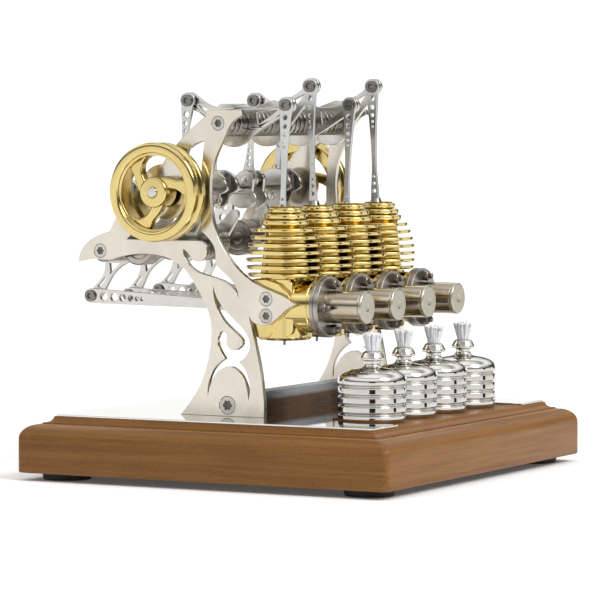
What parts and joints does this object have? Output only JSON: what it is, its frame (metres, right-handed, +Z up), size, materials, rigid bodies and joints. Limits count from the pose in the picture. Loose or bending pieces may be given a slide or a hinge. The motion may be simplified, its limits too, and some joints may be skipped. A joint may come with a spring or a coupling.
{
  "type": "stirling engine model",
  "caption": "tabletop model hot-air engine: row of finned brass cylinders with rockers, crank and flywheels, spirit burners, on a wooden base",
  "frame": {"origin": "middle of the underside of the rubber feet", "axes": "+Z up, +X along the hot cylinders towards the burners, Y along the crankshaft"},
  "size_m": [0.21, 0.23, 0.2034],
  "materials": {
    "wood_base": "moulded, oiled hardwood",
    "rubber_feet": "moulded",
    "top_plate": "mirror polished",
    "frame": "polished plate",
    "screws": "polished",
    "tie_bar": "dark, satin",
    "shafts": "ground",
    "spacers": "blackened, turned",
    "brass": "polished",
    "bolts": "blackened",
    "hot": "turned",
    "burner": "mirror polished",
    "wick": "white fibre",
    "crank": "polished",
    "links": "polished plate",
    "piston": "ground"
  },
  "bodies": {
    "stand": {"wood_base": "wood_base", "rubber_feet": "rubber_feet", "top_plate": "top_plate", "frame_near": "frame", "frame_far": "frame", "frame_screws": "screws", "tie_bar": "tie_bar", "rocker_shaft": "shafts", "lever_shaft": "shafts", "shaft_spacers": "spacers", "cylinder_block": "brass", "cylinder_bolts": "bolts", "wicks": "wick", "power_cylinder_1": "brass", "hot_cylinder_1": "hot", "burner_1": "burner", "power_cylinder_2": "brass", "hot_cylinder_2": "hot", "burner_2": "burner", "power_cylinder_3": "brass", "hot_cylinder_3": "hot", "burner_3": "burner", "power_cylinder_4": "brass", "hot_cylinder_4": "hot", "burner_4": "burner"},
    "crank": {"crankshaft": "crank", "flywheel_near": "brass", "flywheel_far": "brass"},
    "con_rod_1_body": {"con_rod_1": "links"},
    "displacer_con_rod_1_body": {"displacer_con_rod_1": "links"},
    "rocker_1_body": {"rocker_1": "links"},
    "power_rod_1_body": {"power_rod_1": "links"},
    "piston_1_body": {"piston_1": "piston"},
    "lever_1_body": {"lever_1": "links"},
    "link_bar_1_body": {"link_bar_1": "links"},
    "displacer_rod_1_body": {"displacer_rod_1": "piston"},
    "con_rod_2_body": {"con_rod_2": "links"},
    "displacer_con_rod_2_body": {"displacer_con_rod_2": "links"},
    "rocker_2_body": {"rocker_2": "links"},
    "power_rod_2_body": {"power_rod_2": "links"},
    "piston_2_body": {"piston_2": "piston"},
    "lever_2_body": {"lever_2": "links"},
    "link_bar_2_body": {"link_bar_2": "links"},
    "displacer_rod_2_body": {"displacer_rod_2": "piston"},
    "con_rod_3_body": {"con_rod_3": "links"},
    "displacer_con_rod_3_body": {"displacer_con_rod_3": "links"},
    "rocker_3_body": {"rocker_3": "links"},
    "power_rod_3_body": {"power_rod_3": "links"},
    "piston_3_body": {"piston_3": "piston"},
    "lever_3_body": {"lever_3": "links"},
    "link_bar_3_body": {"link_bar_3": "links"},
    "displacer_rod_3_body": {"displacer_rod_3": "piston"},
    "con_rod_4_body": {"con_rod_4": "links"},
    "displacer_con_rod_4_body": {"displacer_con_rod_4": "links"},
    "rocker_4_body": {"rocker_4": "links"},
    "power_rod_4_body": {"power_rod_4": "links"},
    "piston_4_body": {"piston_4": "piston"},
    "lever_4_body": {"lever_4": "links"},
    "link_bar_4_body": {"link_bar_4": "links"},
    "displacer_rod_4_body": {"displacer_rod_4": "piston"}
  },
  "joints": [
    {"name": "crank_turn", "type": "hinge", "parent": "stand", "child": "crank", "pos_m": [-0.0431, 0, 0.1457], "axis": [0, -1, 0], "continuous": true},
    {"name": "con_rod_1_pivot", "type": "hinge", "parent": "crank", "child": "con_rod_1_body", "pos_m": [-0.04178, -0.0525, 0.15031], "axis": [0, -1, 0], "continuous": true},
    {"name": "displacer_con_rod_1_pivot", "type": "hinge", "parent": "crank", "child": "displacer_con_rod_1_body", "pos_m": [-0.04178, -0.0525, 0.15031], "axis": [0, -1, 0], "continuous": true},
    {"name": "rocker_1_rock", "type": "hinge", "parent": "stand", "child": "rocker_1_body", "pos_m": [-0.0128, -0.0525, 0.1805], "axis": [0, -1, 0], "range_deg": [0, 18.9]},
    {"name": "power_rod_1_pivot", "type": "hinge", "parent": "rocker_1_body", "child": "power_rod_1_body", "pos_m": [0.0184, -0.0525, 0.1896], "axis": [0, -1, 0], "range_deg": [-15.2, 0.1]},
    {"name": "piston_1_stroke", "type": "slide", "parent": "stand", "child": "piston_1_body", "axis": [0, 0, 1], "range_m": [0, 0.0098]},
    {"name": "lever_1_rock", "type": "hinge", "parent": "stand", "child": "lever_1_body", "pos_m": [-0.0819, -0.0525, 0.1152], "axis": [0, -1, 0], "range_deg": [-7, 11]},
    {"name": "link_bar_1_pivot", "type": "hinge", "parent": "lever_1_body", "child": "link_bar_1_body", "pos_m": [-0.0972, -0.0525, 0.091], "axis": [0, -1, 0], "range_deg": [-8.8, 5.6]},
    {"name": "displacer_1_stroke", "type": "slide", "parent": "stand", "child": "displacer_rod_1_body", "axis": [1, 0, 0], "range_m": [-0.0031, 0.0048]},
    {"name": "con_rod_2_pivot", "type": "hinge", "parent": "crank", "child": "con_rod_2_body", "pos_m": [-0.04442, -0.0175, 0.14109], "axis": [0, -1, 0], "continuous": true},
    {"name": "displacer_con_rod_2_pivot", "type": "hinge", "parent": "crank", "child": "displacer_con_rod_2_body", "pos_m": [-0.04442, -0.0175, 0.14109], "axis": [0, -1, 0], "continuous": true},
    {"name": "rocker_2_rock", "type": "hinge", "parent": "stand", "child": "rocker_2_body", "pos_m": [-0.0128, -0.0175, 0.1805], "axis": [0, -1, 0], "range_deg": [-18.9, 0]},
    {"name": "power_rod_2_pivot", "type": "hinge", "parent": "rocker_2_body", "child": "power_rod_2_body", "pos_m": [0.01377, -0.0175, 0.19922], "axis": [0, -1, 0], "range_deg": [-0.1, 15.2]},
    {"name": "piston_2_stroke", "type": "slide", "parent": "stand", "child": "piston_2_body", "axis": [0, 0, 1], "range_m": [-0.0098, 0]},
    {"name": "lever_2_rock", "type": "hinge", "parent": "stand", "child": "lever_2_body", "pos_m": [-0.0819, -0.0175, 0.1152], "axis": [0, -1, 0], "range_deg": [-11, 7]},
    {"name": "link_bar_2_pivot", "type": "hinge", "parent": "lever_2_body", "child": "link_bar_2_body", "pos_m": [-0.09534, -0.0175, 0.08992], "axis": [0, -1, 0], "range_deg": [-5.6, 8.8]},
    {"name": "displacer_2_stroke", "type": "slide", "parent": "stand", "child": "displacer_rod_2_body", "axis": [1, 0, 0], "range_m": [-0.0049, 0.0032]},
    {"name": "con_rod_3_pivot", "type": "hinge", "parent": "crank", "child": "con_rod_3_body", "pos_m": [-0.04178, 0.0175, 0.15031], "axis": [0, -1, 0], "continuous": true},
    {"name": "displacer_con_rod_3_pivot", "type": "hinge", "parent": "crank", "child": "displacer_con_rod_3_body", "pos_m": [-0.04178, 0.0175, 0.15031], "axis": [0, -1, 0], "continuous": true},
    {"name": "rocker_3_rock", "type": "hinge", "parent": "stand", "child": "rocker_3_body", "pos_m": [-0.0128, 0.0175, 0.1805], "axis": [0, -1, 0], "range_deg": [0, 18.9]},
    {"name": "power_rod_3_pivot", "type": "hinge", "parent": "rocker_3_body", "child": "power_rod_3_body", "pos_m": [0.0184, 0.0175, 0.1896], "axis": [0, -1, 0], "range_deg": [-15.2, 0.1]},
    {"name": "piston_3_stroke", "type": "slide", "parent": "stand", "child": "piston_3_body", "axis": [0, 0, 1], "range_m": [0, 0.0098]},
    {"name": "lever_3_rock", "type": "hinge", "parent": "stand", "child": "lever_3_body", "pos_m": [-0.0819, 0.0175, 0.1152], "axis": [0, -1, 0], "range_deg": [-7, 11]},
    {"name": "link_bar_3_pivot", "type": "hinge", "parent": "lever_3_body", "child": "link_bar_3_body", "pos_m": [-0.0972, 0.0175, 0.091], "axis": [0, -1, 0], "range_deg": [-8.8, 5.6]},
    {"name": "displacer_3_stroke", "type": "slide", "parent": "stand", "child": "displacer_rod_3_body", "axis": [1, 0, 0], "range_m": [-0.0031, 0.0048]},
    {"name": "con_rod_4_pivot", "type": "hinge", "parent": "crank", "child": "con_rod_4_body", "pos_m": [-0.04442, 0.0525, 0.14109], "axis": [0, -1, 0], "continuous": true},
    {"name": "displacer_con_rod_4_pivot", "type": "hinge", "parent": "crank", "child": "displacer_con_rod_4_body", "pos_m": [-0.04442, 0.0525, 0.14109], "axis": [0, -1, 0], "continuous": true},
    {"name": "rocker_4_rock", "type": "hinge", "parent": "stand", "child": "rocker_4_body", "pos_m": [-0.0128, 0.0525, 0.1805], "axis": [0, -1, 0], "range_deg": [-18.9, 0]},
    {"name": "power_rod_4_pivot", "type": "hinge", "parent": "rocker_4_body", "child": "power_rod_4_body", "pos_m": [0.01377, 0.0525, 0.19922], "axis": [0, -1, 0], "range_deg": [-0.1, 15.2]},
    {"name": "piston_4_stroke", "type": "slide", "parent": "stand", "child": "piston_4_body", "axis": [0, 0, 1], "range_m": [-0.0098, 0]},
    {"name": "lever_4_rock", "type": "hinge", "parent": "stand", "child": "lever_4_body", "pos_m": [-0.0819, 0.0525, 0.1152], "axis": [0, -1, 0], "range_deg": [-11, 7]},
    {"name": "link_bar_4_pivot", "type": "hinge", "parent": "lever_4_body", "child": "link_bar_4_body", "pos_m": [-0.09534, 0.0525, 0.08992], "axis": [0, -1, 0], "range_deg": [-5.6, 8.8]},
    {"name": "displacer_4_stroke", "type": "slide", "parent": "stand", "child": "displacer_rod_4_body", "axis": [1, 0, 0], "range_m": [-0.0049, 0.0032]}
  ],
  "couplings": [
    {"joint": "con_rod_1_pivot", "follows": "crank_turn", "ratio": -1},
    {"joint": "displacer_con_rod_1_pivot", "follows": "crank_turn", "ratio": -1},
    {"joint": "power_rod_1_pivot", "follows": "rocker_1_rock", "ratio": -0.797},
    {"joint": "piston_1_stroke", "follows": "rocker_1_rock", "m_per_rad": 0.0294},
    {"joint": "link_bar_1_pivot", "follows": "lever_1_rock", "ratio": -0.791},
    {"joint": "displacer_1_stroke", "follows": "lever_1_rock", "m_per_rad": 0.0242},
    {"joint": "con_rod_2_pivot", "follows": "crank_turn", "ratio": -1},
    {"joint": "displacer_con_rod_2_pivot", "follows": "crank_turn", "ratio": -1},
    {"joint": "rocker_2_rock", "follows": "rocker_1_rock", "ratio": -1},
    {"joint": "power_rod_2_pivot", "follows": "rocker_1_rock", "ratio": 0.797},
    {"joint": "piston_2_stroke", "follows": "rocker_1_rock", "m_per_rad": -0.0294},
    {"joint": "lever_2_rock", "follows": "lever_1_rock", "ratio": -1},
    {"joint": "link_bar_2_pivot", "follows": "lever_1_rock", "ratio": 0.791},
    {"joint": "displacer_2_stroke", "follows": "lever_1_rock", "m_per_rad": -0.0253},
    {"joint": "con_rod_3_pivot", "follows": "crank_turn", "ratio": -1},
    {"joint": "displacer_con_rod_3_pivot", "follows": "crank_turn", "ratio": -1},
    {"joint": "rocker_3_rock", "follows": "rocker_1_rock", "ratio": 1},
    {"joint": "power_rod_3_pivot", "follows": "rocker_1_rock", "ratio": -0.797},
    {"joint": "piston_3_stroke", "follows": "rocker_1_rock", "m_per_rad": 0.0294},
    {"joint": "lever_3_rock", "follows": "lever_1_rock", "ratio": 1},
    {"joint": "link_bar_3_pivot", "follows": "lever_1_rock", "ratio": -0.791},
    {"joint": "displacer_3_stroke", "follows": "lever_1_rock", "m_per_rad": 0.0242},
    {"joint": "con_rod_4_pivot", "follows": "crank_turn", "ratio": -1},
    {"joint": "displacer_con_rod_4_pivot", "follows": "crank_turn", "ratio": -1},
    {"joint": "rocker_4_rock", "follows": "rocker_1_rock", "ratio": -1},
    {"joint": "power_rod_4_pivot", "follows": "rocker_1_rock", "ratio": 0.797},
    {"joint": "piston_4_stroke", "follows": "rocker_1_rock", "m_per_rad": -0.0294},
    {"joint": "lever_4_rock", "follows": "lever_1_rock", "ratio": -1},
    {"joint": "link_bar_4_pivot", "follows": "lever_1_rock", "ratio": 0.791},
    {"joint": "displacer_4_stroke", "follows": "lever_1_rock", "m_per_rad": -0.0253}
  ]
}
